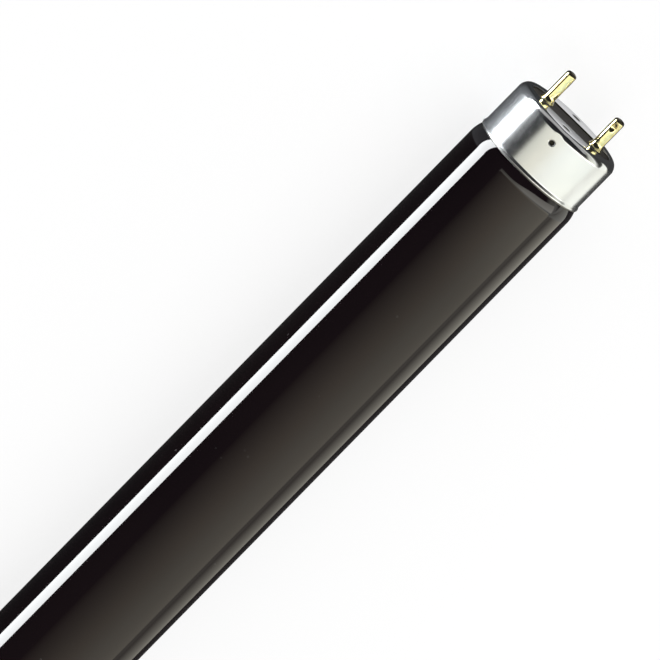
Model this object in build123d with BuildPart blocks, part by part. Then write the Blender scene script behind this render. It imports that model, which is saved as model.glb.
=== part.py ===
from build123d import *
from math import acos, cos, radians, sin, sqrt
import os

# A black light fluorescent tube of T8 size, one inch across, with a bi-pin cap on each end.
# It lies along X with its middle at the origin. The two pins of each cap lie side by side along Y.
# The left end is the right end turned half round about Z, so both ends are the same parts.

# Lamp
FACE_TO_FACE = 589.8
GLASS_DIAMETER = 25.4
GLASS_WALL = 0.7

# Neck and shoulder of the glass, where the tube narrows into the cap
SHOULDER_ROUND = 6.5
NECK_ROUND = 3.0
NECK_END_DEPTH = 5.0
NECK_EDGE = 1.2

# Stem that seals each end of the glass: a funnel, a press and a tipped-off pumping tube
STEM_RADIUS = 4.4
STEM_WALL = 1.0
FUNNEL_LENGTH = 11.0
STEM_LENGTH = 6.0
PRESS_LENGTH = 8.0
PUMP_TUBE_RADIUS = 2.0
PUMP_TUBE_BORE = 1.2
PUMP_TUBE_END_DEPTH = 4.0

# Cap shell, drawn from thin aluminium sheet
CAP_STEP = 0.55
SHELL_WALL = 0.25
SKIRT_LENGTH = 11.7
RIM_RADIUS = 1.5
FLARE_LENGTH = 0.6
FLARE_STEP = 0.25
FLARE_LIP = 0.4
SEAT_CLEARANCE = 0.04

# Oblong window in the face of the cap, where the insulator shows
WINDOW_LENGTH = 20.1
WINDOW_WIDTH = 9.9

# Stakes in the face and dimples in the wall, pressed in to lock the insulator
STAKE_OFFSET = 8.6
STAKE_RADIUS = 2.8
STAKE_SINK = 0.13
DIMPLE_RADIUS = 0.55
DIMPLE_TIP_RADIUS = 0.3
DIMPLE_SINK = 0.35
DIMPLE_CLEARANCE = 0.06

# Cement between the cap and the neck of the glass
CEMENT_THICKNESS = 0.55
CEMENT_SETBACK = 0.2

# Insulator disc
INSULATOR_THICKNESS = 2.3
FIT_CLEARANCE = 0.05
CORNER_CLEARANCE = 0.1

# Contact pins
PIN_SPACING = 12.7
PIN_DIAMETER = 2.35
PIN_PROJECTION = 7.1
PIN_BORE = 1.3
PIN_TIP_HOLE = 0.8
PIN_TIP_ROUND = 0.7
FOOT_OVERHANG = 0.43
FOOT_HEIGHT = 1.3
RIVET_OVERHANG = 0.53
RIVET_THICKNESS = 0.35
CRIMP_RADIUS = 2.2
CRIMP_FROM_TIP = 1.9
CRIMP_CLEARANCE = 0.05

# Lead-in wires
WIRE_DIAMETER = 0.5
WIRE_BEND = 3.0
WIRE_SEAL_LENGTH = 3.0
WIRE_END_DEPTH = 0.5
WIRE_STRAIGHT_DEPTH = 6.0

ENDS = {"left": -1, "right": 1}
PINS = {"front": -1, "back": 1}

# Radii and places along the tube that follow from the sizes above
face = FACE_TO_FACE / 2
glass_radius = GLASS_DIAMETER / 2
shell_radius = glass_radius - CAP_STEP
shell_bore_radius = shell_radius - SHELL_WALL
neck_radius = shell_bore_radius - CEMENT_THICKNESS
skirt_edge_radius = shell_radius + FLARE_STEP
skirt_edge = face - SKIRT_LENGTH
flare_end = skirt_edge + FLARE_LIP
rim_crest_radius = shell_radius - RIM_RADIUS
insulator_top = face - SHELL_WALL - FIT_CLEARANCE
insulator_bottom = insulator_top - INSULATOR_THICKNESS
insulator_radius = shell_bore_radius - FIT_CLEARANCE
pin_radius = PIN_DIAMETER / 2
pin_wall = (PIN_DIAMETER - PIN_BORE) / 2
pin_tip = face + PIN_PROJECTION
wire_radius = WIRE_DIAMETER / 2

# The shoulder is two tangent arcs, placed so that the skirt's edge sits close to the glass
seat_drop = glass_radius - (skirt_edge_radius - SHELL_WALL - SEAT_CLEARANCE)
shoulder_start = skirt_edge - sqrt(SHOULDER_ROUND**2 - (SHOULDER_ROUND - seat_drop) ** 2)
shoulder_turn = acos(1 - (glass_radius - neck_radius) / (SHOULDER_ROUND + NECK_ROUND))
shoulder_middle = shoulder_start + SHOULDER_ROUND * sin(shoulder_turn)
shoulder_end = shoulder_middle + NECK_ROUND * sin(shoulder_turn)

# The stem's floor is where the lead-in wires leave the glass
neck_end = face - NECK_END_DEPTH
funnel_mouth_radius = neck_radius - NECK_EDGE
funnel_end = neck_end - FUNNEL_LENGTH
stem_floor = funnel_end - STEM_LENGTH
press_end = stem_floor - PRESS_LENGTH
wire_offset = (STEM_RADIUS - STEM_WALL + PUMP_TUBE_RADIUS) / 2


def section_plane(side, offset=0.0):
    """Plane along the tube: x runs outward to one end, y is the distance from the axis at Y = offset."""
    return Plane(origin=(0, offset, 0), x_dir=(side, 0, 0), z_dir=(0, -side, 0))


def axis_at(offset):
    """The line along the tube at Y = offset."""
    return Axis((0, offset, 0), (1, 0, 0))


def end_plane(side, distance):
    """Plane square to the tube at a distance from its middle: x runs along Y, and it faces outward."""
    return Plane(origin=(side * distance, 0, 0), x_dir=(0, 1, 0), z_dir=(side, 0, 0))


def make_glass_tube():
    """The sealed glass: a hollow section with a necked shoulder and a stem at each end, turned about X."""
    middle = (shoulder_middle, glass_radius - SHOULDER_ROUND * (1 - cos(shoulder_turn)))
    pump_end = face - PUMP_TUBE_END_DEPTH
    pump_bore_end = pump_end - PUMP_TUBE_RADIUS
    with BuildPart() as tube:
        with BuildSketch(Plane.XZ):
            with BuildLine():
                # Outside, from the middle of the tube over the shoulder and down the neck into the stem
                Line((0, glass_radius), (shoulder_start, glass_radius))
                TangentArc((shoulder_start, glass_radius), middle, tangent=(1, 0))
                TangentArc((shoulder_end, neck_radius), middle, tangent=(-1, 0))
                Polyline(
                    (shoulder_end, neck_radius),
                    (neck_end, neck_radius),
                    (neck_end, funnel_mouth_radius),
                    (funnel_end, STEM_RADIUS - STEM_WALL),
                    (stem_floor, STEM_RADIUS - STEM_WALL),
                    (stem_floor, PUMP_TUBE_RADIUS),
                    (pump_end - PUMP_TUBE_RADIUS, PUMP_TUBE_RADIUS),
                    (pump_end, 0),
                )
                # Inside, from the pumping tube's bore round the stem and back along the wall
                Polyline(
                    (pump_end, 0),
                    (pump_bore_end, 0),
                    (pump_bore_end - PUMP_TUBE_BORE, PUMP_TUBE_BORE),
                    (press_end, PUMP_TUBE_BORE),
                    (press_end, STEM_RADIUS),
                    (funnel_end - STEM_WALL / 2, STEM_RADIUS),
                    (neck_end - STEM_WALL, neck_radius - GLASS_WALL),
                    (shoulder_end, neck_radius - GLASS_WALL),
                    (shoulder_start, glass_radius - GLASS_WALL),
                    (0, glass_radius - GLASS_WALL),
                )
                mirror(about=Plane.YZ)
            make_face()
        revolve(axis=Axis.X)
        # Seats of the lead-in wires in the floor of each stem
        for side in ENDS.values():
            with BuildSketch(end_plane(side, stem_floor)):
                with GridLocations(2 * wire_offset, 0, 2, 1):
                    Circle(wire_radius)
            extrude(amount=-WIRE_SEAL_LENGTH, mode=Mode.SUBTRACT)
    return tube.part


def skirt_points(inset):
    """Wall of the cap, set in from its outside: the foot of the rim, the flare and the lip at the edge."""
    return [
        (face - RIM_RADIUS, shell_radius - inset),
        (flare_end + FLARE_LENGTH, shell_radius - inset),
        (flare_end, skirt_edge_radius - inset),
        (skirt_edge, skirt_edge_radius - inset),
    ]


def make_cap_shell(side):
    """The aluminium cup: a thin sheet turned about X, with a window, and stakes and dimples pressed in."""
    stake_centre = (side * (face + STAKE_RADIUS - STAKE_SINK), 0, STAKE_OFFSET)
    dimple_x = side * (insulator_bottom - DIMPLE_CLEARANCE - DIMPLE_RADIUS - SHELL_WALL)
    with BuildPart() as punches:
        with Locations(stake_centre):
            Sphere(STAKE_RADIUS, rotation=(0, 0, 90))
        with Locations((dimple_x, 0, shell_radius - DIMPLE_SINK / 2)):
            Cone(DIMPLE_TIP_RADIUS, DIMPLE_RADIUS, DIMPLE_SINK)
    with BuildPart() as bulge:
        with Locations((dimple_x, 0, shell_bore_radius - DIMPLE_SINK / 2)):
            Cone(DIMPLE_TIP_RADIUS + SHELL_WALL, DIMPLE_RADIUS + SHELL_WALL, DIMPLE_SINK)

    crest = (face, rim_crest_radius)
    skirt = skirt_points(0)
    corner = (RIM_RADIUS - SHELL_WALL) * cos(radians(45))
    inside = [
        (face - SHELL_WALL, 0),
        (face - SHELL_WALL, rim_crest_radius),
        (face - RIM_RADIUS + corner, rim_crest_radius + corner),
    ]
    with BuildPart() as shell:
        with BuildSketch(section_plane(side)):
            with BuildLine():
                Line((face, 0), crest)
                TangentArc(crest, skirt[0], tangent=(0, 1))
                Polyline(*skirt)
                Polyline((face, 0), *inside, *skirt_points(SHELL_WALL), skirt[-1])
            make_face()
        revolve(axis=Axis.X)
        with BuildSketch(end_plane(side, face)):
            SlotOverall(WINDOW_LENGTH, WINDOW_WIDTH)
        extrude(amount=-2 * SHELL_WALL, mode=Mode.SUBTRACT)
        add(bulge.part)
        mirror(bulge.part, about=Plane.XY)
        add(punches.part, mode=Mode.SUBTRACT)
        mirror(punches.part, about=Plane.XY, mode=Mode.SUBTRACT)
    return shell.part


def make_insulator(side):
    """The disc behind the window, held by the face of the cap from above and by the dimples from below."""
    # The chamfer keeps clear of the inside corner of the cap, and slopes at 45 degrees
    chamfer_radius = rim_crest_radius + FIT_CLEARANCE - CORNER_CLEARANCE
    chamfer = insulator_radius - chamfer_radius
    with BuildPart() as disc:
        with BuildSketch(section_plane(side)):
            with BuildLine():
                Polyline(
                    (insulator_bottom, 0),
                    (insulator_top, 0),
                    (insulator_top, chamfer_radius),
                    (insulator_top - chamfer, insulator_radius),
                    (insulator_bottom, insulator_radius),
                    close=True,
                )
            make_face()
        revolve(axis=Axis.X)
        with Locations(end_plane(side, insulator_top)):
            with GridLocations(PIN_SPACING, 0, 2, 1):
                Hole(pin_radius + FIT_CLEARANCE, depth=INSULATOR_THICKNESS)
    return disc.part


def make_pin(side, place):
    """A hollow pin, riveted through the insulator, with a flared foot, a round tip and a crimp."""
    offset_y = place * PIN_SPACING / 2
    facing = -place * side
    crimp_sink = PIN_BORE / 2 - wire_radius - CRIMP_CLEARANCE
    crimp_height = pin_radius + CRIMP_RADIUS - crimp_sink
    crimp_centre = (side * (pin_tip - CRIMP_FROM_TIP), offset_y, facing * crimp_height)
    rivet_end = insulator_bottom - RIVET_THICKNESS
    round_start = pin_tip - PIN_TIP_ROUND
    hole_radius = PIN_TIP_HOLE / 2
    bore_radius = PIN_BORE / 2

    with BuildPart() as bore:
        with BuildSketch(section_plane(side, offset_y)):
            with BuildLine():
                Polyline(
                    (rivet_end, 0),
                    (rivet_end, bore_radius),
                    (round_start, bore_radius),
                    (round_start, hole_radius),
                    (pin_tip, hole_radius),
                    (pin_tip, 0),
                    close=True,
                )
            make_face()
        revolve(axis=axis_at(offset_y))
        with Locations(crimp_centre):
            Cylinder(CRIMP_RADIUS + pin_wall, PIN_DIAMETER, rotation=(90, 0, 0), mode=Mode.SUBTRACT)

    with BuildPart() as pin:
        with BuildSketch(section_plane(side, offset_y)):
            with BuildLine():
                Polyline(
                    (pin_tip, pin_radius - PIN_TIP_ROUND),
                    (pin_tip, 0),
                    (rivet_end, 0),
                    (rivet_end, pin_radius + RIVET_OVERHANG),
                    (insulator_bottom, pin_radius + RIVET_OVERHANG),
                    (insulator_bottom, pin_radius),
                    (insulator_top, pin_radius),
                    (insulator_top, pin_radius + FOOT_OVERHANG),
                    (insulator_top + FOOT_HEIGHT, pin_radius),
                    (round_start, pin_radius),
                )
                TangentArc((round_start, pin_radius), (pin_tip, pin_radius - PIN_TIP_ROUND), tangent=(1, 0))
            make_face()
        revolve(axis=axis_at(offset_y))
        with Locations(crimp_centre):
            Cylinder(CRIMP_RADIUS, PIN_DIAMETER, rotation=(90, 0, 0), mode=Mode.SUBTRACT)
        add(bore.part, mode=Mode.SUBTRACT)
    return pin.part


def make_cement_ring(side):
    """The ring of capping cement between the wall of the cap and the neck of the glass."""
    cement_end = neck_end - CEMENT_SETBACK
    with BuildPart() as ring:
        with BuildSketch(section_plane(side)):
            with Locations(((shoulder_end + cement_end) / 2, neck_radius + CEMENT_THICKNESS / 2)):
                Rectangle(cement_end - shoulder_end, CEMENT_THICKNESS)
        revolve(axis=Axis.X)
    return ring.part


def make_lead_wire(side, place):
    """A lead-in wire, from its seal in the stem out through the hollow pin, to just below the tip."""
    route_plane = Plane(origin=(0, 0, 0), x_dir=(side, 0, 0), z_dir=(0, 0, side))
    start = (stem_floor - WIRE_SEAL_LENGTH, place * wire_offset)
    end = (pin_tip - WIRE_END_DEPTH, place * PIN_SPACING / 2)
    with BuildPart() as wire:
        with BuildLine(route_plane) as route:
            FilletPolyline(
                start,
                (funnel_end, start[1]),
                (face - WIRE_STRAIGHT_DEPTH, end[1]),
                end,
                radius=WIRE_BEND,
            )
        with BuildSketch(Plane(origin=route.line @ 0, z_dir=route.line % 0)):
            Circle(wire_radius)
        sweep(path=route.line)
    return wire.part


def save(piece, name):
    """Write one piece to its own file under its own name."""
    piece.label = name
    export_step(piece, f"parts/{name}.step")


os.makedirs("parts", exist_ok=True)
save(make_glass_tube(), "glass_tube")
for end_name, end_side in ENDS.items():
    save(make_cap_shell(end_side), f"cap_shell_{end_name}")
    save(make_insulator(end_side), f"insulator_{end_name}")
    save(make_cement_ring(end_side), f"cement_ring_{end_name}")
    for pin_name, pin_place in PINS.items():
        save(make_pin(end_side, pin_place), f"pin_{end_name}_{pin_name}")
        save(make_lead_wire(end_side, pin_place), f"lead_wire_{end_name}_{pin_name}")
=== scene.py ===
import math

import bpy
import numpy as np
from mathutils import Matrix, Vector


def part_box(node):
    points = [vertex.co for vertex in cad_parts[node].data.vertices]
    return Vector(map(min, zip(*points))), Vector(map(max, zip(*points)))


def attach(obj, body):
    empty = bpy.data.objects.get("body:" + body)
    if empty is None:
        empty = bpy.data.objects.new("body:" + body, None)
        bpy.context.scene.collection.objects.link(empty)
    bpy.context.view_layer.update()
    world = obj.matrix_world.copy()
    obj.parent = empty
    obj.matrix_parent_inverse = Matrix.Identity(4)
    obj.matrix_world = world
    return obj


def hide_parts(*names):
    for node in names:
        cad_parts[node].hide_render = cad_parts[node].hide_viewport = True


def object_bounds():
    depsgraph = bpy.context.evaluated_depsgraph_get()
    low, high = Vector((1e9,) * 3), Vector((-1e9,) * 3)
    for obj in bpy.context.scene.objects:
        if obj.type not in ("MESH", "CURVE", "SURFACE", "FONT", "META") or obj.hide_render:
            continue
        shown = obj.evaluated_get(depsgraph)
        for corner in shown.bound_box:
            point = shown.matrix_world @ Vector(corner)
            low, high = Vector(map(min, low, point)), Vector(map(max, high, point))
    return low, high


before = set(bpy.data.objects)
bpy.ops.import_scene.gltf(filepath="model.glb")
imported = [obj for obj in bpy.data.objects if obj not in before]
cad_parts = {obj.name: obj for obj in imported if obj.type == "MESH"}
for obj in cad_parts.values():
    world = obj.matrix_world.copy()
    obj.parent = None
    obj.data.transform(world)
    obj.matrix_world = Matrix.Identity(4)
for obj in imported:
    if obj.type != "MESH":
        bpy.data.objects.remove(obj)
CAD_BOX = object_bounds()

MM = 0.001
SAME_POINT = 1e-8
TINY = 1e-9
SHARP_EDGE = math.radians(50)

# Places read from the frame, for the right end; the left end is the same turned half a turn about Z
glass_low, glass_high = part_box("glass_tube")
cap_low, cap_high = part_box("cap_shell_right")
plate_low, plate_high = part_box("insulator_right")
pin_low, pin_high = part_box("pin_right_front")
GLASS_RADIUS = (glass_high[2] - glass_low[2]) / 2
FACE = cap_high[0]
SKIRT_EDGE = cap_low[0]
SKIRT_EDGE_RADIUS = (cap_high[2] - cap_low[2]) / 2
PLATE_TOP = plate_high[0]
PIN_TIP = pin_high[0]
PIN_OFFSET = -(pin_low[1] + pin_high[1]) / 2
FLOOR = CAD_BOX[0][2]

# Aluminium cap
SHEET = 0.25 * MM
FLARE_STEP = 0.25 * MM
FLARE_LENGTH = 0.7 * MM
FLARE_LIP = 0.4 * MM
FLARE_LIP_ROUND = 0.24 * MM
FLARE_FIRST_ROW = 0.08 * MM
LIP_SHADE = 0.3
LIP_SHADE_START, LIP_SHADE_END = 1.4 * FLARE_LIP, 0.6 * FLARE_LIP
WALL_RADIUS = SKIRT_EDGE_RADIUS - FLARE_STEP
RIM_ALONG = 2.5 * MM
RIM_OUT = 1.4155 * MM
RIM_END = 23.3
RIM_DEPTH = RIM_ALONG * (1 - math.sin(math.radians(RIM_END)))
CREST_RADIUS = WALL_RADIUS - RIM_OUT * math.cos(math.radians(RIM_END))
WALL_FADE = 0.5 * MM
WINDOW_HALF_LENGTH = 10.05 * MM
WINDOW_HALF_WIDTH = 4.95 * MM
WINDOW_EDGE = 0.04 * MM
WINDOW_GAP = 0.01 * MM
HOLLOW_FLAT = 0.3
STAKE_OFFSET = 8.6 * MM
STAKE_RADIUS = 1.3 * MM
STAKE_SINK = 0.20 * MM
RISE = 0.36 * MM
RISE_FADE = 1.5 * MM
RISE_HALF_WIDTH = 1.45 * MM
DIMPLE_BELOW_FACE = 3.46 * MM
DIMPLE_HALF_LENGTH = 0.66 * MM
DIMPLE_HALF_WIDTH = 0.84 * MM
DIMPLE_SINK = 0.38 * MM
DIMPLE_MARGIN = 1.3
FACE_ROWS = 36
CAP_COLUMNS = 480
CAP_CROWDING = 0.4

# Brass pin
PIN_RADIUS = 1.175 * MM
PIN_BORE_RADIUS = 0.65 * MM
PIN_TIP_HOLE_RADIUS = 0.4 * MM
PIN_TIP_ROUND = 0.7 * MM
PIN_TIP_EDGE = 0.02 * MM
FOOT_RADIUS = 1.605 * MM
FOOT_HEIGHT = 1.3 * MM
FOOT_EDGE = 0.14 * MM
RIVET_RADIUS = 1.705 * MM
RIVET_THICKNESS = 0.35 * MM
PLATE_THICKNESS = plate_high[0] - plate_low[0]
CRIMP_FROM_TIP = 1.9 * MM
CRIMP_HALF_LENGTH = 1.2 * MM
CRIMP_HALF_WIDTH = 0.75 * MM
CRIMP_SINK = 0.24 * MM
BORE_MARGIN = 0.02 * MM
# length of the pin tip that is darkened to near black, and of its fully dark part
TIP_DARK = 0.75 * MM
TIP_DARK_FULL = 0.6 * TIP_DARK
PIN_COLUMNS = 96

# Glass, measured back from the face of the cap
SHOULDER_ROUND = 6.5 * MM
NECK_ROUND = 3.0 * MM
NECK_RADIUS = 11.35 * MM
SHOULDER_START_DEPTH = 14.406 * MM
NECK_END_DEPTH = 5.0 * MM
NECK_EDGE = 1.2 * MM
FUNNEL_LENGTH = 11.0 * MM
STEM_BORE_RADIUS = 3.4 * MM
STEM_LENGTH = 6.0 * MM
PUMP_TUBE_RADIUS = 2.0 * MM
PUMP_TUBE_END_DEPTH = 4.0 * MM
BARREL_FIRST_ROW = 0.3 * MM
GLASS_COLUMNS = 160


# Profiles, as rows of a distance along X and a radius

def arc(centre, radius, start, end, count):
    """Arc: the centre plus the radius along X by the sine and outwards by the cosine of the angle.

    The angle runs in degrees from start to end, 0 straight outwards and 90 along +X. The radius may be a
    pair, one along X and one outwards, which makes it an arc of an ellipse.
    """
    along, out = np.broadcast_to(radius, 2)
    angle = np.radians(np.linspace(start, end, count))
    return np.stack([centre[0] + along * np.sin(angle), centre[1] + out * np.cos(angle)], axis=1)


def run(start, end, count):
    """Straight run: count points evenly spaced from start to end."""
    share = np.linspace(0.0, 1.0, count)[:, None]
    return np.asarray(start) * (1 - share) + np.asarray(end) * share


def chain(*parts):
    """The parts one after another, with a point left out where it repeats the one before it."""
    points = np.concatenate(parts)
    step = np.linalg.norm(np.diff(points, axis=0), axis=1)
    return points[np.concatenate([[True], step > SAME_POINT])]


def inset(profile, depth):
    """The profile moved by depth to its inner side, square to the mean of its two neighbouring runs."""
    runs = np.diff(profile, axis=0)
    runs = runs / np.linalg.norm(runs, axis=1)[:, None]
    before = np.concatenate([runs[:1], runs])
    after = np.concatenate([runs, runs[-1:]])
    along = before + after
    along = along / np.linalg.norm(along, axis=1)[:, None]
    return profile + depth * np.stack([-along[:, 1], along[:, 0]], axis=1)


def smooth_step(value, start, end):
    """0 up to start, 1 from end on, and between them three squares less two cubes of the way gone."""
    share = np.clip((value - start) / (end - start), 0.0, 1.0)
    return share * share * (3 - 2 * share)


def bell(distance):
    """1 at no distance, 0 from a distance of 1 on: the square of one less the distance squared."""
    return np.clip(1 - distance ** 2, 0.0, 1.0) ** 2


def around(x, radius, angle):
    """Points at a distance along X and a radius from its line.

    The radius times minus the sine of the angle goes on Y, and times the cosine on Z.
    """
    x, radius, angle = np.broadcast_arrays(x, radius, angle)
    return np.stack([x, -radius * np.sin(angle), radius * np.cos(angle)], axis=-1)


def turned(profile, angle):
    """Profile turned about X: each of its points carried round all the angles."""
    return around(profile[:, :1], profile[:, 1:], angle)


def half_turn(grid):
    """The grid turned half a turn about Z, which takes the right end to the left end."""
    return grid * np.array([-1.0, -1.0, 1.0])


# Meshes

def add_mesh(name, points, faces, material):
    """A smooth object at the origin from points and faces, sharp only at its steep edges."""
    mesh = bpy.data.meshes.new(name)
    mesh.from_pydata(points.reshape(-1, 3).tolist(), [], faces)
    mesh.validate()
    mesh.shade_smooth()
    mesh.set_sharp_from_angle(angle=SHARP_EDGE)
    mesh.materials.append(material)
    piece = bpy.data.objects.new(name, mesh)
    bpy.context.scene.collection.objects.link(piece)
    return piece


def ring_quads(rows, columns, closed):
    """Quads of a grid that closes around its columns and, where closed, from the last row to the first."""
    count = rows if closed else rows - 1
    i, j = np.meshgrid(np.arange(count), np.arange(columns), indexing="ij")
    below, beside = (i + 1) % rows, (j + 1) % columns
    corners = [i * columns + j, below * columns + j, below * columns + beside, i * columns + beside]
    return np.stack(corners, axis=-1).reshape(-1, 4)


def open_quads(rows, columns):
    """Quads of a grid that doesn't close on itself."""
    i, j = np.meshgrid(np.arange(rows - 1), np.arange(columns - 1), indexing="ij")
    corner = i * columns + j
    corners = [corner, corner + columns, corner + columns + 1, corner + 1]
    return np.stack(corners, axis=-1).reshape(-1, 4)


def add_loop_piece(name, grid, material):
    """Piece from a closed profile turned about an axis, so that the grid closes both ways."""
    quads = ring_quads(grid.shape[0], grid.shape[1], closed=True)
    return add_mesh(name, grid, quads.tolist(), material)


def add_poled_piece(name, grid, material):
    """Piece from a profile that starts and ends on the axis; each end row becomes one point with a fan."""
    rows, columns = grid.shape[0] - 2, grid.shape[1]
    points = np.concatenate([grid[1:-1].reshape(-1, 3), grid[:1, 0], grid[-1:, 0]])
    quads = ring_quads(rows, columns, closed=False)
    j = np.arange(columns)
    beside = (j + 1) % columns
    first = np.stack([0 * j + rows * columns, j, beside], axis=-1)
    base = (rows - 1) * columns
    last = np.stack([base + j, 0 * j + rows * columns + 1, base + beside], axis=-1)
    return add_mesh(name, points, quads.tolist() + first.tolist() + last.tolist(), material)


def carry(piece, name, values):
    """Gives each point of a piece a number that its material can read."""
    attribute = piece.data.attributes.new(name, "FLOAT", "POINT")
    attribute.data.foreach_set("value", np.ravel(values).astype(np.float32))


def fit(piece, node):
    """Ties a piece to the frame in place of one CAD node."""
    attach(piece, "root")
    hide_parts(node)


# Shader maths

class Wire:
    """An output socket of a material. Sums and products of wires and numbers add Math nodes."""

    def __init__(self, tree, socket=None):
        self.tree, self.socket = tree, socket

    def node(self, kind, settings=None, sockets=None, output=0):
        """Adds a node, with its settings and its sockets by name or number, and gives one of its outputs."""
        made = self.tree.nodes.new("ShaderNode" + kind)
        for name, value in (settings or {}).items():
            setattr(made, name, value)
        for name, value in (sockets or {}).items():
            if isinstance(value, Wire):
                self.tree.links.new(value.socket, made.inputs[name])
            else:
                made.inputs[name].default_value = value
        return Wire(self.tree, made.outputs[output] if made.outputs else None)

    def _math(self, operation, first, second):
        return self.node("Math", {"operation": operation}, {0: first, 1: second})

    def __add__(self, other):
        return self._math("ADD", self, other)

    __radd__ = __add__

    def __sub__(self, other):
        return self._math("SUBTRACT", self, other)

    def __rsub__(self, other):
        return self._math("SUBTRACT", other, self)

    def __mul__(self, other):
        return self._math("MULTIPLY", self, other)

    __rmul__ = __mul__

    def between(self, low, high):
        """0 at low, 1 at high, smooth between."""
        return self.node(
            "MapRange",
            {"interpolation_type": "SMOOTHSTEP"},
            {"Value": self, "From Min": low, "From Max": high, "To Min": 0.0, "To Max": 1.0},
        )

    def tint(self, first, second):
        """The first colour where this is 0, the second where it is 1."""
        return self.node("Mix", {"data_type": "RGBA"}, {0: self, 6: first, 7: second}, 2)

    def carried(self, name):
        """The number that the mesh carries under a name."""
        return self.node("Attribute", {"attribute_name": name}, output=2)

    def place(self, stretch=(1.0, 1.0, 1.0)):
        """Object coordinates in metres, each times its own stretch."""
        coordinates = self.node("TexCoord", output=3)
        return self.node("VectorMath", {"operation": "MULTIPLY"}, {0: coordinates, 1: stretch})

    def noise(self, per_metre, stretch=(1.0, 1.0, 1.0), detail=3.0, roughness=0.55):
        """Noise with about per_metre lumps in a metre, drawn out by the stretch."""
        return self.node(
            "TexNoise",
            {"noise_dimensions": "3D"},
            {"Vector": self.place(stretch), "Scale": per_metre, "Detail": detail, "Roughness": roughness},
        )

    def specks(self, per_metre, radius):
        """1 inside round specks of the given radius in cell sizes, 0 outside them."""
        distance = self.node("TexVoronoi", {"feature": "F1"}, {"Vector": self.place(), "Scale": per_metre})
        return 1 - distance.between(0.6 * radius, radius)


def finish_of(name, **constants):
    """A new material with a Principled shader whose constant sockets are set, its wire and its shader."""
    material = bpy.data.materials.new(name)
    material.use_nodes = True
    shader = material.node_tree.nodes["Principled BSDF"]
    for socket, value in constants.items():
        shader.inputs[socket.replace("_", " ")].default_value = value
    return material, Wire(material.node_tree), shader


def feed(wire, shader, colour=None, roughness=None, height=None, relief=0.0):
    """Links a colour, a roughness and a height, whose relief in metres goes through one Bump node."""
    links = wire.tree.links
    if colour:
        links.new(colour.socket, shader.inputs["Base Color"])
    if roughness:
        links.new(roughness.socket, shader.inputs["Roughness"])
    if height:
        bump = wire.node("Bump", sockets={"Strength": 1.0, "Distance": relief, "Height": height})
        links.new(bump.socket, shader.inputs["Normal"])


def dark_glass():
    """Near-black violet glass: drawing lines along the tube, faint clouding and a little dust."""
    material, wire, shader = finish_of("dark_violet_glass", IOR=1.5)
    clouds = wire.noise(60.0, (0.25, 1.0, 1.0), detail=2.0)
    lines = wire.noise(700.0, (0.004, 1.0, 1.0), detail=2.0)
    dust = wire.specks(420.0, 0.13) * wire.noise(90.0).between(0.55, 0.7)
    colour = clouds.between(0.3, 0.7).tint((0.0070, 0.0042, 0.0056, 1), (0.0095, 0.0058, 0.0070, 1))
    colour = (dust * 0.35).tint(colour, (0.06, 0.055, 0.055, 1))
    roughness = 0.022 + 0.02 * clouds + 0.012 * lines + 0.25 * dust
    feed(wire, shader, colour, roughness, lines, 0.0000004)
    return material


def aluminium():
    """Drawn aluminium sheet: fine lines round and along the wall, soft clouding and small dull marks, with
    painted shade, near black, in the dimples and stakes, at the window's cut edge and faintly on the lip.
    """
    material, wire, shader = finish_of("drawn_aluminium", Metallic=1.0)
    clouds = wire.noise(220.0, detail=3.0)
    lines = wire.noise(9000.0, (0.02, 1.0, 1.0), detail=2.0)
    hoops = wire.noise(7000.0, (1.0, 0.03, 0.03), detail=2.0)
    marks = wire.specks(300.0, 0.16) * wire.noise(150.0).between(0.55, 0.7)
    # painted shade: the mask carried by the mesh darkens and roughens the dimples, the stakes, the window's
    # cut edge and the lip
    painted_shade = wire.carried("painted_shade").between(0.0, 0.4)
    colour = clouds.between(0.25, 0.75).tint((0.715, 0.73, 0.745, 1), (0.755, 0.77, 0.785, 1))
    colour = (0.2 * marks).tint(colour, (0.5, 0.49, 0.46, 1))
    colour = painted_shade.tint(colour, (0.04, 0.037, 0.03, 1))
    roughness = 0.09 + 0.085 * wire.carried("wall") + 0.25 * painted_shade
    roughness = roughness + 0.02 * clouds + 0.02 * lines + 0.02 * hoops + 0.06 * marks
    feed(wire, shader, colour, roughness, lines + 0.6 * hoops + clouds, 0.0000005)
    return material


def brass():
    """Bright brass: turning lines, pale and darker patches, small spots of brown tarnish and a tip darkened
    to near black.
    """
    material, wire, shader = finish_of("bright_brass", Metallic=1.0)
    patches = wire.noise(900.0, detail=4.0)
    hoops = wire.noise(9000.0, (1.0, 0.05, 0.05), detail=2.0)
    tarnish = wire.noise(2200.0, detail=5.0, roughness=0.65).between(0.58, 0.75)
    colour = patches.between(0.3, 0.7).tint((0.80, 0.70, 0.34, 1), (0.90, 0.84, 0.50, 1))
    colour = (0.5 * tarnish).tint(colour, (0.34, 0.24, 0.08, 1))
    # the rounded tip darkened to near black
    tip_darkening = wire.carried("tip") * (0.85 + 0.15 * patches)
    colour = tip_darkening.tint(colour, (0.035, 0.032, 0.036, 1))
    roughness = 0.06 + 0.05 * patches + 0.03 * hoops + 0.15 * tarnish
    feed(wire, shader, colour, roughness, hoops + 2.0 * patches, 0.0000006)
    return material


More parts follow.
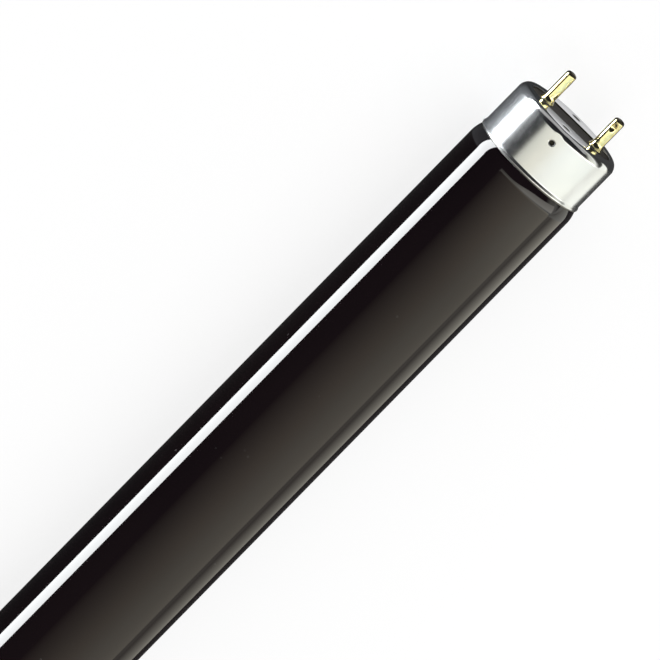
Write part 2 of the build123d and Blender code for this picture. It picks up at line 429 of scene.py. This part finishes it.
def phenolic():
    """Pressed brown-grey fibre plate: dark filler, pale fibres and a grainy matt surface."""
    material, wire, shader = finish_of("pressed_fibre_plate", IOR=1.5, Specular_IOR_Level=0.15)
    grain = wire.noise(2600.0, detail=5.0, roughness=0.65)
    fibres = wire.noise(5200.0, (1.0, 0.12, 1.0), detail=3.0).between(0.56, 0.74)
    clouds = wire.noise(300.0, detail=2.0)
    colour = grain.between(0.3, 0.7).tint((0.026, 0.023, 0.021, 1), (0.060, 0.054, 0.050, 1))
    colour = (0.45 * clouds).tint(colour, (0.032, 0.027, 0.025, 1))
    colour = (0.5 * fibres).tint(colour, (0.13, 0.12, 0.11, 1))
    roughness = 0.68 + 0.15 * grain + 0.08 * fibres
    feed(wire, shader, colour, roughness, grain + 0.5 * fibres, 0.00002)
    return material


def cement():
    """Baked basing cement: tan, porous and grainy."""
    material, wire, shader = finish_of("baked_cement", IOR=1.45)
    grain = wire.noise(3500.0, detail=6.0, roughness=0.7)
    pores = wire.specks(1900.0, 0.3)
    colour = grain.between(0.3, 0.7).tint((0.52, 0.46, 0.36, 1), (0.68, 0.62, 0.50, 1))
    colour = (0.7 * pores).tint(colour, (0.26, 0.22, 0.16, 1))
    roughness = 0.75 + 0.2 * grain
    feed(wire, shader, colour, roughness, grain - pores, 0.00005)
    return material


def lead_wire():
    """Drawn nickel-iron wire: grey with fine lines and a warm bloom."""
    material, wire, shader = finish_of("drawn_wire", Metallic=1.0)
    lines = wire.noise(16000.0, (0.02, 1.0, 1.0), detail=2.0)
    bloom = wire.noise(1200.0, detail=3.0).between(0.45, 0.7)
    colour = lines.between(0.3, 0.7).tint((0.50, 0.48, 0.45, 1), (0.64, 0.62, 0.59, 1))
    colour = (0.5 * bloom).tint(colour, (0.44, 0.36, 0.26, 1))
    roughness = 0.3 + 0.15 * lines + 0.1 * bloom
    feed(wire, shader, colour, roughness, lines, 0.000001)
    return material


GLASS = dark_glass()
ALUMINIUM = aluminium()
BRASS = brass()
NODE_FINISHES = {"insulator": phenolic(), "cement_ring": cement(), "lead_wire": lead_wire()}
for node_name, node_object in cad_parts.items():
    for begins, node_material in NODE_FINISHES.items():
        if node_name.startswith(begins):
            for material_slot in node_object.material_slots:
                material_slot.material = node_material


# Glass tube

def glass_profile():
    """Half of the glass from the tip of the right pump tube to the middle.

    Pump tube, floor and bore of the stem, funnel, rounded neck edge, neck, hollow arc, shoulder arc and
    barrel. The two arcs turn by the angle whose cosine leaves just the step from the neck to the barrel.
    """
    step = GLASS_RADIUS - NECK_RADIUS
    turn = math.degrees(math.acos(1 - step / (SHOULDER_ROUND + NECK_ROUND)))
    start = FACE - SHOULDER_START_DEPTH
    neck_start = start + (SHOULDER_ROUND + NECK_ROUND) * math.sin(math.radians(turn))
    neck_end = FACE - NECK_END_DEPTH
    funnel_end = neck_end - FUNNEL_LENGTH
    stem_floor = funnel_end - STEM_LENGTH
    pump_end = FACE - PUMP_TUBE_END_DEPTH
    mouth_radius = NECK_RADIUS - NECK_EDGE
    return chain(
        arc((pump_end - PUMP_TUBE_RADIUS, 0), PUMP_TUBE_RADIUS, 90, 0, 12),
        run((pump_end - PUMP_TUBE_RADIUS, PUMP_TUBE_RADIUS), (stem_floor, PUMP_TUBE_RADIUS), 4),
        run((stem_floor, PUMP_TUBE_RADIUS), (stem_floor, STEM_BORE_RADIUS), 2),
        run((stem_floor, STEM_BORE_RADIUS), (funnel_end, STEM_BORE_RADIUS), 3),
        run((funnel_end, STEM_BORE_RADIUS), (neck_end, mouth_radius), 6),
        arc((neck_end - NECK_EDGE, mouth_radius), NECK_EDGE, 90, 0, 10),
        run((neck_end - NECK_EDGE, NECK_RADIUS), (neck_start, NECK_RADIUS), 4),
        arc((neck_start, NECK_RADIUS + NECK_ROUND), -NECK_ROUND, 0, turn, 14),
        arc((start, GLASS_RADIUS - SHOULDER_ROUND), SHOULDER_ROUND, turn, 0, 30),
        run((start - BARREL_FIRST_ROW, GLASS_RADIUS), (0, GLASS_RADIUS), 24),
    )


def make_glass():
    """The glass profile and its mirror picture, turned about X."""
    half = glass_profile()
    other = half[::-1] * np.array([-1.0, 1.0])
    angle = np.linspace(0, 2 * np.pi, GLASS_COLUMNS, endpoint=False)
    piece = add_poled_piece("tube_glass", turned(chain(half, other), angle), GLASS)
    fit(piece, "glass_tube")


# Aluminium caps

def window_radius(angle):
    """Distance from the axis to the edge of the oblong window, in the direction of each angle.

    A direction meets a straight edge at half the width over its cosine. Past the corner it meets the half
    circle at the end: the circle's distance times the sine, plus the root of what is left of its radius.
    """
    reach = WINDOW_HALF_LENGTH - WINDOW_HALF_WIDTH
    across, up = np.abs(np.sin(angle)), np.abs(np.cos(angle))
    straight = WINDOW_HALF_WIDTH / np.maximum(up, TINY)
    rounded = reach * across + np.sqrt(np.maximum(WINDOW_HALF_WIDTH ** 2 - (reach * up) ** 2, 0.0))
    return np.where(WINDOW_HALF_WIDTH * across <= reach * up, straight, rounded)


def face_rows(angle):
    """Distances along X and radii of the flat face, in even rows from the window to the crest."""
    start = window_radius(angle) + WINDOW_EDGE
    radius = start + (CREST_RADIUS - start) * np.linspace(0, 1, FACE_ROWS)[:, None]
    return 0 * radius + FACE, radius


def wall_profiles():
    """Outside of the cap from the crest of the rim to the skirt edge, and the inside one sheet further in.

    The rim is an arc of an ellipse that meets the wall at a slight crease. The wall is straight, and flares
    by the smooth step to a short rounded lip. The inside leaves out the rounding.
    """
    flare_end = SKIRT_EDGE + FLARE_LIP
    flare_start = flare_end + FLARE_LENGTH
    flare_x = np.linspace(flare_start, flare_end, 14)
    flare_out = FLARE_STEP * smooth_step(-flare_x, -flare_start, -flare_end)
    flare = np.stack([flare_x, WALL_RADIUS + flare_out], axis=1)
    dense_end = FACE - DIMPLE_BELOW_FACE - DIMPLE_MARGIN * DIMPLE_HALF_LENGTH
    body = chain(
        arc((FACE - RIM_ALONG, CREST_RADIUS), (RIM_ALONG, RIM_OUT), 90, RIM_END, 20),
        run((FACE - RIM_DEPTH, WALL_RADIUS), (dense_end, WALL_RADIUS), 40),
        run((dense_end, WALL_RADIUS), (flare_start + FLARE_FIRST_ROW, WALL_RADIUS), 5),
        flare,
    )
    lip = arc((flare_end, SKIRT_EDGE_RADIUS - FLARE_LIP_ROUND), (FLARE_LIP, FLARE_LIP_ROUND), 0, -90, 10)
    inner_lip = np.array([[SKIRT_EDGE, SKIRT_EDGE_RADIUS - SHEET]])
    return chain(body, lip), chain(inset(body, SHEET), inner_lip)[::-1]


def dimple_share(grid):
    """One less the smooth step of the distance from the middle of a dimple in the wall; 0 outside it."""
    along = (grid[..., 0] - (FACE - DIMPLE_BELOW_FACE)) / DIMPLE_HALF_LENGTH
    from_centre = np.hypot(along, grid[..., 1] / DIMPLE_HALF_WIDTH)
    return (1 - smooth_step(from_centre, HOLLOW_FLAT, 1.0)) * (np.abs(grid[..., 2]) > np.abs(grid[..., 1]))


def stake_share(grid):
    """One less the smooth step of the distance from the middle of a stake in the face; 0 outside it."""
    from_centre = np.hypot(grid[..., 1], np.abs(grid[..., 2]) - STAKE_OFFSET) / STAKE_RADIUS
    return (1 - smooth_step(from_centre, HOLLOW_FLAT, 1.0)) * (grid[..., 0] > FACE - SHEET)


def dimpled(grid):
    """Two dimples, above and below: each point moves towards the axis by the sink times its share."""
    x, y, z = grid[..., 0], grid[..., 1], grid[..., 2]
    return np.stack([x, y, z - np.sign(z) * DIMPLE_SINK * dimple_share(grid)], axis=-1)


def staked(grid):
    """A stake in the face above and below the window, and the rise of the crease under the rim beside each.

    A stake sinks the face by its share of the dent. The rise moves points towards the face by the bell of the
    distance along Y, in full at the crease and less in a straight line to the face and down the wall.
    """
    x, y, z = grid[..., 0], grid[..., 1], grid[..., 2]
    share = np.interp(FACE - x, [0.0, RIM_DEPTH, RIM_DEPTH + RISE_FADE], [0.0, 1.0, 0.0])
    rise = RISE * share * bell(y / RISE_HALF_WIDTH)
    return np.stack([x + rise - STAKE_SINK * stake_share(grid), y, z], axis=-1)


def make_cap(name, node, turn_round):
    """The drawn sheet: window edge, face, rim, wall, flare and lip, then the inside one sheet further in."""
    even = np.linspace(0, 2 * np.pi, CAP_COLUMNS, endpoint=False)
    angle = even - CAP_CROWDING * np.sin(2 * even)
    outside, inside = wall_profiles()
    keep = np.arange(len(inside)) % 2 == 0
    keep[-1] = True
    window_x = np.array([[PLATE_TOP + WINDOW_GAP], [FACE - WINDOW_EDGE]])
    plain = np.concatenate([
        around(window_x, window_radius(angle), angle),
        around(*face_rows(angle), angle),
        turned(outside[1:], angle),
        turned(inside[keep], angle),
    ])
    outer_rows = len(plain) - np.count_nonzero(keep)
    grid = dimpled(np.concatenate([staked(plain[:outer_rows]), plain[outer_rows:]]))
    piece = add_loop_piece(name, half_turn(grid) if turn_round else grid, ALUMINIUM)
    # painted shade for the material: full in the dimples, in the stakes and at the window's cut edge, a share
    # on the lip
    depth = FACE - plain[..., 0]
    cut_edge = np.zeros_like(depth)
    cut_edge[:2] = 1.0
    skirt_depth = FACE - SKIRT_EDGE
    lip = LIP_SHADE * smooth_step(depth, skirt_depth - LIP_SHADE_START, skirt_depth - LIP_SHADE_END)
    carry(piece, "painted_shade", np.max([dimple_share(plain), stake_share(plain), cut_edge, lip], axis=0))
    carry(piece, "wall", smooth_step(depth, RIM_DEPTH - WALL_FADE, RIM_DEPTH))
    fit(piece, node)


# Brass pins

def pin_profile():
    """Outside of a pin from its tip hole to the rivet under the plate, then up its bore.

    The foot widens by the square of the way gone towards the plate, and has a small rounded edge.
    """
    plate_bottom = PLATE_TOP - PLATE_THICKNESS
    rivet_end = plate_bottom - RIVET_THICKNESS
    foot_start = PLATE_TOP + FOOT_HEIGHT
    share = np.linspace(0, 1, 14)
    foot = np.stack([
        foot_start - (FOOT_HEIGHT - FOOT_EDGE) * share,
        PIN_RADIUS + (FOOT_RADIUS - PIN_RADIUS) * share ** 2,
    ], axis=1)
    tip_centre = (PIN_TIP - PIN_TIP_ROUND, PIN_RADIUS - PIN_TIP_ROUND)
    crimp_end = PIN_TIP - CRIMP_FROM_TIP - CRIMP_HALF_LENGTH
    hole_start, hole_end = PIN_TIP - 0.5 * PIN_TIP_ROUND, PIN_TIP - PIN_TIP_EDGE
    return np.concatenate([
        arc(tip_centre, PIN_TIP_ROUND, 90, 0, 16),
        run((tip_centre[0], PIN_RADIUS), (crimp_end, PIN_RADIUS), 24)[1:],
        run((crimp_end, PIN_RADIUS), (foot_start, PIN_RADIUS), 8)[1:],
        foot[1:],
        run((PLATE_TOP + FOOT_EDGE, FOOT_RADIUS), (PLATE_TOP, FOOT_RADIUS), 3)[1:],
        run((PLATE_TOP, PIN_RADIUS), (plate_bottom, PIN_RADIUS), 3),
        run((plate_bottom, RIVET_RADIUS), (rivet_end, RIVET_RADIUS), 3),
        run((rivet_end, PIN_BORE_RADIUS), (PIN_TIP - PIN_TIP_ROUND, PIN_BORE_RADIUS), 6),
        run((hole_start, PIN_TIP_HOLE_RADIUS), (hole_end, PIN_TIP_HOLE_RADIUS), 3),
    ])


def make_pin(name, node, offset, facing, turn_round):
    """The pin profile turned about its own axis, with the crimp sunk in on the side that faces up or down."""
    angle = np.linspace(0, 2 * np.pi, PIN_COLUMNS, endpoint=False)
    grid = turned(pin_profile(), angle)
    x, y, z = grid[..., 0], grid[..., 1], grid[..., 2]
    along = (x - (PIN_TIP - CRIMP_FROM_TIP)) / CRIMP_HALF_LENGTH
    across = y / CRIMP_HALF_WIDTH
    outside = (np.hypot(y, z) > PIN_BORE_RADIUS + BORE_MARGIN) & (z * facing > 0)
    sink = CRIMP_SINK * bell(np.hypot(along, across)) * outside
    grid = np.stack([x, y + offset, z - facing * sink], axis=-1)
    piece = add_loop_piece(name, half_turn(grid) if turn_round else grid, BRASS)
    carry(piece, "tip", smooth_step(x, PIN_TIP - TIP_DARK, PIN_TIP - TIP_DARK_FULL))
    fit(piece, node)


make_glass()
make_cap("cap_cup_right", "cap_shell_right", False)
make_cap("cap_cup_left", "cap_shell_left", True)
make_pin("contact_pin_right_front", "pin_right_front", -PIN_OFFSET, 1, False)
make_pin("contact_pin_right_back", "pin_right_back", PIN_OFFSET, -1, False)
make_pin("contact_pin_left_back", "pin_left_back", -PIN_OFFSET, 1, True)
make_pin("contact_pin_left_front", "pin_left_front", PIN_OFFSET, -1, True)


# Studio: a pale floor, soft light, and cards that only reflections see

VIEW_TILT = math.radians(9.97)
VIEW_ROLL = math.radians(45.57)
STUDIO_HALF_LENGTH = 0.9
STUDIO_RADIUS = 0.8
GREY_END_TOP, GREY_END_SHARE = 0.39, 0.99
CARD_RADIUS = 0.5
CARD_TIP, CARD_TIP_SLANT = 0.32, 0.11
CARD_TIP_FADE = 0.004
SIDE_REACH_LEAST, SIDE_REACH = 0.002, 0.43
SHOULDER_CARD_RADIUS = 0.0227
STRIP_DISTANCE = 0.100
STRIP_BOTTOM, STRIP_TOP = -0.0027, 0.034
STRIP_HALF_LENGTH = 0.372
UNDER_TUBE = 0.0072
PALE_START = 0.0278
PAST_END = FACE + 0.023
FAR_START = FACE + 0.045
FAR_RIGHT, FAR_LEFT = -0.100, 0.300
LOW, HIGH = 0.0004, 0.0008
MIRROR_SLANT = 0.16
FLOOR_SIZE = 8.0
ENDS = ((-1, "left"), (1, "right"))

# Colours and levels of light
WHITE, PLAIN, COOL = (1, 1, 1), (1.015, 1.015, 0.885), (0.912, 1.036, 1.045)
WARM, CREAM, IVORY = (1, 0.89, 0.70), (1, 0.94, 0.77), (1, 0.97, 0.88)
PAPER, LILAC, PALE = (1, 0.96, 0.82), (0.95, 0.99, 1.05), (1.005, 1.01, 0.925)
DARK, DIM, GREY = (0.02, 0.02, 0.022), (0.08, 0.08, 0.08), (0.49, 0.48, 0.47)
STRIP_LIGHT = (18.4, 18.8, 19.0)
FLOOR_LIGHT, FLOOR_LIGHT_SHARE = 1.1, 0.72
WORLD_LIGHT, WORLD_EXTRA = 0.55, 0.45


def bare_wire(owner):
    """The wire of a material or world whose nodes are cleared."""
    owner.use_nodes = True
    owner.node_tree.nodes.clear()
    return Wire(owner.node_tree)


def card_material():
    """Emission of the light that each point of a card carries."""
    material = bpy.data.materials.new("card_light")
    wire = bare_wire(material)
    light = wire.node("Attribute", {"attribute_name": "light"})
    shine = wire.node("Emission", sockets={"Color": light, "Strength": 1.0})
    wire.node("OutputMaterial", sockets={"Surface": shine})
    return material


CARD_LIGHT = card_material()


def make_card(name, grid, light):
    """A sheet from an open grid of points, each with its own light, seen only in reflections."""
    rows, columns = grid.shape[:2]
    card = add_mesh(name, grid, open_quads(rows, columns).tolist(), CARD_LIGHT)
    colour = np.ones((rows, columns, 4), np.float32)
    colour[..., :3] = light
    card.data.attributes.new("light", "FLOAT_COLOR", "POINT").data.foreach_set("color", colour.ravel())
    card.visible_camera = False
    card.visible_diffuse = False
    card.visible_shadow = False
    card.visible_transmission = False


def graded(places, stops):
    """Light at the places, in a straight line between stops of a place, a level and a colour."""
    at, level, colour = zip(*stops)
    light = np.array(level)[:, None] * np.array(colour)
    return np.stack([np.interp(places, at, light[:, channel]) for channel in range(3)], axis=-1)


def even_graded(places, colour, stops):
    """Light of one colour at the places, between stops of a place and a level."""
    return graded(places, [(place, level, colour) for place, level in stops])


def tube_light(degrees):
    """Light for the straight tube at angles from the top, brighter towards the floor on the right."""
    return graded(degrees, [
        (-31, 0.05, WARM), (-21, 0.22, WARM), (0, 0.48, WARM),
        (28, 0.86, WARM), (57, 1.19, CREAM), (91, 1.38, CREAM),
    ])


def make_white_card():
    """White card on a circle about X, from one side over the top down to the floor on the other.

    Its ends are cut on the slant, further out where the angle is larger by the smooth step, and low down on
    the right they reach further. Zones along X light the tube, the caps and the rounded edges each in their
    own way.
    """
    degrees = np.linspace(-31.0, 91.4, 64)
    along = tube_light(degrees)
    caps = graded(degrees, [
        (-31, 1.16, PLAIN), (-22, 1.46, PLAIN), (-8, 1.50, PLAIN), (0, 1.42, PLAIN),
        (29, 1.13, COOL), (60, 0.95, COOL), (91, 0.89, COOL),
    ])
    past = graded(degrees, [
        (-31, 0.7, PLAIN), (0, 1.4, PLAIN), (22, 2.6, IVORY), (60, 2.85, IVORY), (91, 2.85, IVORY),
    ])
    side = even_graded(degrees, PLAIN, [(69, 0.0), (80, 1.0)])
    tip = CARD_TIP + CARD_TIP_SLANT * smooth_step(degrees, -10.0, 45.0)
    side_start = tip + CARD_TIP_FADE
    reach = SIDE_REACH_LEAST + SIDE_REACH * smooth_step(degrees, 64.0, 76.0)
    zones = [
        (0.175, along), (0.195, 1.25 * along), (0.201, 1.25 * along), (0.209, caps), (0.25, caps),
        (0.275, 1.15 * past), (tip, 0.8 * past),
        (side_start, side), (side_start + 0.4 * reach, 0.75 * side), (tip + reach, 0.5 * side),
    ]
    half = np.stack([0 * tip + place for place, light in zones], axis=1)
    shades = np.stack([light for place, light in zones], axis=1)
    x = np.concatenate([-half[:, ::-1], half], axis=1)
    light = np.concatenate([shades[:, ::-1], shades], axis=1)
    make_card("white_card", around(x, CARD_RADIUS, np.radians(degrees)[:, None]), light)


def make_shoulder_cards():
    """Narrow cards close to the two shoulders, which keep the zone that lights the caps out of the glass.

    Each point is where the view, mirrored at one angle and one tilt of the shoulder, meets a circle about X:
    twice the normal times its product with the view, less the view, gone along as far as the circle.
    """
    degrees = np.linspace(-15.5, 45.6, 48)
    angle = np.radians(degrees)[:, None]
    tilt = np.radians([0.0, 1.2, 2.2, 3.2])
    level = np.array([1.25, 1.38, 1.8, 2.4])
    view = np.array([math.sin(VIEW_TILT), 0.0, math.cos(VIEW_TILT)])
    start_x = FACE - SHOULDER_START_DEPTH + SHOULDER_ROUND * np.sin(tilt)
    start = around(start_x, GLASS_RADIUS - SHOULDER_ROUND * (1 - np.cos(tilt)), angle)
    normal = around(np.sin(tilt), np.cos(tilt), angle)
    ray = 2 * (normal @ view)[..., None] * normal - view
    square = (ray[..., 1:] ** 2).sum(-1)
    product = (ray[..., 1:] * start[..., 1:]).sum(-1)
    short = (start[..., 1:] ** 2).sum(-1) - SHOULDER_CARD_RADIUS ** 2
    way = (np.sqrt(product ** 2 - square * short) - product) / square
    grid = start + way[..., None] * ray
    light = tube_light(2 * degrees)[:, None] * level[:, None]
    make_card("shoulder_card_right", grid, light)
    make_card("shoulder_card_left", grid * np.array([-1.0, 1.0, 1.0]), light)


def make_dark_studio():
    """Dark half cylinder about X, round everything over the floor, with flat ends that are grey low down."""
    angle = np.radians(np.linspace(-92, 92, 48))[:, None]
    x = np.array([[-STUDIO_HALF_LENGTH, STUDIO_HALF_LENGTH]])
    make_card("dark_wall", around(x, STUDIO_RADIUS, angle), DARK)
    for side, name in ENDS:
        end = side * STUDIO_HALF_LENGTH
        make_card("dark_end_" + name, around(end, np.array([[0.0, STUDIO_RADIUS]]), angle), DARK)
        y, z = np.meshgrid([-STUDIO_RADIUS, STUDIO_RADIUS], [FLOOR, GREY_END_TOP], indexing="ij")
        make_card("grey_end_" + name, np.stack([0 * y + GREY_END_SHARE * end, y, z], axis=-1), GREY)


def make_floor_card(name, x_places, y_places, height, light, slant=0.0):
    """Flat sheet at a small height over the floor, over the places on X and on Y.

    With a slant, each place on X moves towards the middle by that share of the distance on Y.
    """
    x, y = np.meshgrid(x_places, y_places, indexing="ij")
    x = x - np.sign(x) * slant * np.abs(y)
    make_card(name, np.stack([x, y, 0 * x + FLOOR + height], axis=-1), light)


def make_side_cards():
    """Cards over the floor beside the lamp: dark on both sides of the tube, pale further out on the right.

    The slant is the one at which the tilted view is mirrored, so that a zone on X lights one stretch of the
    lamp. Each row of zones has a place on X, the factor of the tube's light there, and the cap's share of
    the light on the right and on the left. On the right the pale card has a light of its own past the end.
    """
    zones = np.array([
        (0.200, 1.0, 0.0, 0.0),
        (0.265, 1.3, 0.0, 0.0),
        (0.2813, 1.3, 0.0, 0.0),
        (0.2823, 1.0, 1.0, 1.0),
        (FACE - 0.002, 1.0, 0.75, 0.75),
        (FACE + 0.007, 1.0, 0.27, 0.65),
        (FACE + 0.009, 1.0, 0.95, 0.65),
        (FACE + 0.0225, 1.0, 0.95, 0.62),
        (FACE + 0.0240, 1.0, 0.0, 0.6),
        (STUDIO_HALF_LENGTH, 1.0, 0.0, 0.6),
    ])
    both = np.concatenate([zones[::-1], zones])
    x = both[:, 0] * np.repeat([-1, 1], len(zones))
    factor, share_right, share_left = both[:, 1:].T[..., None, None]

    y = np.array([UNDER_TUBE, 0.017, 0.024, 0.036, 0.050, 0.080, STUDIO_RADIUS])
    tube = factor * even_graded(y, WHITE, [(0.0, 0.03)])
    cap = even_graded(y, LILAC, [(0.017, 0.05), (0.024, 0.18), (0.036, 0.27), (0.050, 0.38), (0.080, 0.5)])
    make_floor_card("black_card_left", x, y, LOW, tube + (cap - tube) * share_left, MIRROR_SLANT)

    y = np.array([-UNDER_TUBE, -PALE_START])
    tube = factor * even_graded(y, WHITE, [(0.0, 0.05)])
    cap = even_graded(y, WHITE, [(0.0, 0.06)])
    make_floor_card("black_card_right", x, y, LOW, tube + (cap - tube) * share_right, MIRROR_SLANT)

    y = np.array([-PALE_START, -0.040, -0.055, -0.079, -0.105, -0.170, -CARD_RADIUS])
    tube = factor * even_graded(-y, PAPER, [
        (0.028, 1.2), (0.040, 1.08), (0.055, 0.93), (0.079, 0.62), (0.105, 0.42), (0.170, 0.58),
    ])
    cap = even_graded(-y, PALE, [(0.032, 1.26), (0.055, 1.25), (0.079, 1.23), (0.120, 1.23), (0.5, 1.25)])
    end = even_graded(-y, PALE, [(0.079, 0.05), (0.105, 0.4), (0.170, 0.95), (0.5, 1.35)])
    light = np.where(np.abs(x)[:, None, None] > PAST_END, end, tube + (cap - tube) * share_right)
    make_floor_card("pale_card_right", x, y, LOW, light, MIRROR_SLANT)


def make_end_cards():
    """Cards over the floor past the two ends: grey bands close to the face, a painted contact shadow of the
    lamp's end that only reflections see, and dim further out.
    """
    steps = np.array([-0.001, 0.0, 0.0006, 0.0013, 0.0024, 0.0029, 0.0032, 0.0035, 0.0038, 0.006, 0.045])
    # painted contact shadow: the floor's shade under and just in front of each face, in bands for the rim to
    # mirror
    shade = even_graded(steps, WHITE, [
        (0.0, 0.52), (0.0006, 0.67), (0.0013, 0.84), (0.0024, 0.14), (0.0029, 0.19),
        (0.0032, 0.33), (0.0035, 0.52), (0.0038, 0.75), (0.006, 0.87),
    ])[:, None]
    for side, name in ENDS:
        near, far = side * (FACE + steps), (side * FAR_START, side * STUDIO_HALF_LENGTH)
        make_floor_card("contact_shadow_card_end_" + name, near, (-UNDER_TUBE, UNDER_TUBE), HIGH, shade)
        make_floor_card("dim_card_end_" + name, far, (FAR_RIGHT, FAR_LEFT), HIGH, DIM)


def make_strip():
    """Upright strip light beside the tube."""
    x, z = np.meshgrid([-STRIP_HALF_LENGTH, STRIP_HALF_LENGTH], [STRIP_BOTTOM, STRIP_TOP], indexing="ij")
    make_card("strip_light", np.stack([x, 0 * x + STRIP_DISTANCE, z], axis=-1), STRIP_LIGHT)


def see_through_rays(wire):
    """1 for rays from the camera, from gloss and through glass, 0 for the rest."""
    rays = [wire.node("LightPath", output=number) for number in (0, 3, 6)]
    return rays[0] + rays[1] + rays[2]


def make_floor():
    """Large pale floor: mostly its own even white to the camera and to gloss, so that the shadow is light."""
    material = bpy.data.materials.new("pale_floor")
    wire = bare_wire(material)
    mottle = wire.noise(3.0, detail=2.0)
    paint = mottle.tint((0.86, 0.86, 0.86, 1), (0.90, 0.90, 0.90, 1))
    matt = wire.node("BsdfDiffuse", sockets={"Color": paint})
    white = wire.node("Emission", sockets={"Color": (1, 1, 1, 1), "Strength": FLOOR_LIGHT})
    share = FLOOR_LIGHT_SHARE * see_through_rays(wire)
    both = wire.node("MixShader", sockets={0: share, 1: matt, 2: white})
    wire.node("OutputMaterial", sockets={"Surface": both})
    places = np.linspace(-FLOOR_SIZE, FLOOR_SIZE, 9)
    x, y = np.meshgrid(places, places, indexing="ij")
    grid = np.stack([x, y, 0 * x + FLOOR], axis=-1)
    floor = add_mesh("floor", grid, open_quads(len(places), len(places)).tolist(), material)


def make_world():
    """White to the camera, to gloss and through glass; softer as light."""
    world = bpy.data.worlds.new("pale_world")
    bpy.context.scene.world = world
    wire = bare_wire(world)
    strength = WORLD_LIGHT + WORLD_EXTRA * see_through_rays(wire)
    light = wire.node("Background", sockets={"Color": (1, 1, 1, 1), "Strength": strength})
    wire.node("OutputWorld", sockets={"Surface": light})


def make_lamp(name, place, size, power):
    """Square area lamp that faces the middle of the visible cap and doesn't show in reflections."""
    data = bpy.data.lights.new(name, "AREA")
    data.shape, data.size, data.energy = "SQUARE", size, power
    lamp = bpy.data.objects.new(name, data)
    bpy.context.scene.collection.objects.link(lamp)
    lamp.location = place
    lamp.rotation_euler = (Vector((FACE, 0, 0)) - Vector(place)).to_track_quat("-Z", "Y").to_euler()
    lamp.visible_glossy = False


make_floor()
make_world()
make_lamp("soft_key", place=(0.1, -0.9, 1.7), size=1.4, power=16.0)
make_dark_studio()
make_white_card()
make_shoulder_cards()
make_strip()
make_side_cards()
make_end_cards()


# Camera, with the place of the face in the picture in metres from its centre

CAMERA_DISTANCE = 4.0
CAMERA_LENS = 1150.2
CAMERA_SENSOR = 36.0
CAMERA_REACH = 100.0
FACE_RIGHT, FACE_UP = 0.045814, 0.039257


def make_camera():
    """Long lens, far away: the lamp's end is tilted towards it and the lamp lies slantwise in the picture."""
    back = Vector((math.sin(VIEW_TILT), 0, math.cos(VIEW_TILT)))
    out = Vector((math.cos(VIEW_TILT), 0, -math.sin(VIEW_TILT)))
    side = Vector((0, -1, 0))
    right = math.cos(VIEW_ROLL) * out + math.sin(VIEW_ROLL) * side
    up = math.sin(VIEW_ROLL) * out - math.cos(VIEW_ROLL) * side
    data = bpy.data.cameras.new("camera")
    data.sensor_width, data.lens, data.clip_end = CAMERA_SENSOR, CAMERA_LENS, CAMERA_REACH
    camera = bpy.data.objects.new("camera", data)
    bpy.context.scene.collection.objects.link(camera)
    place = Vector((FACE, 0, 0)) - FACE_RIGHT * right - FACE_UP * up + CAMERA_DISTANCE * back
    turn = Matrix((right, up, back)).transposed().to_4x4()
    camera.matrix_world = Matrix.Translation(place) @ turn
    bpy.context.scene.camera = camera


make_camera()
bpy.context.scene.view_settings.view_transform = "Standard"
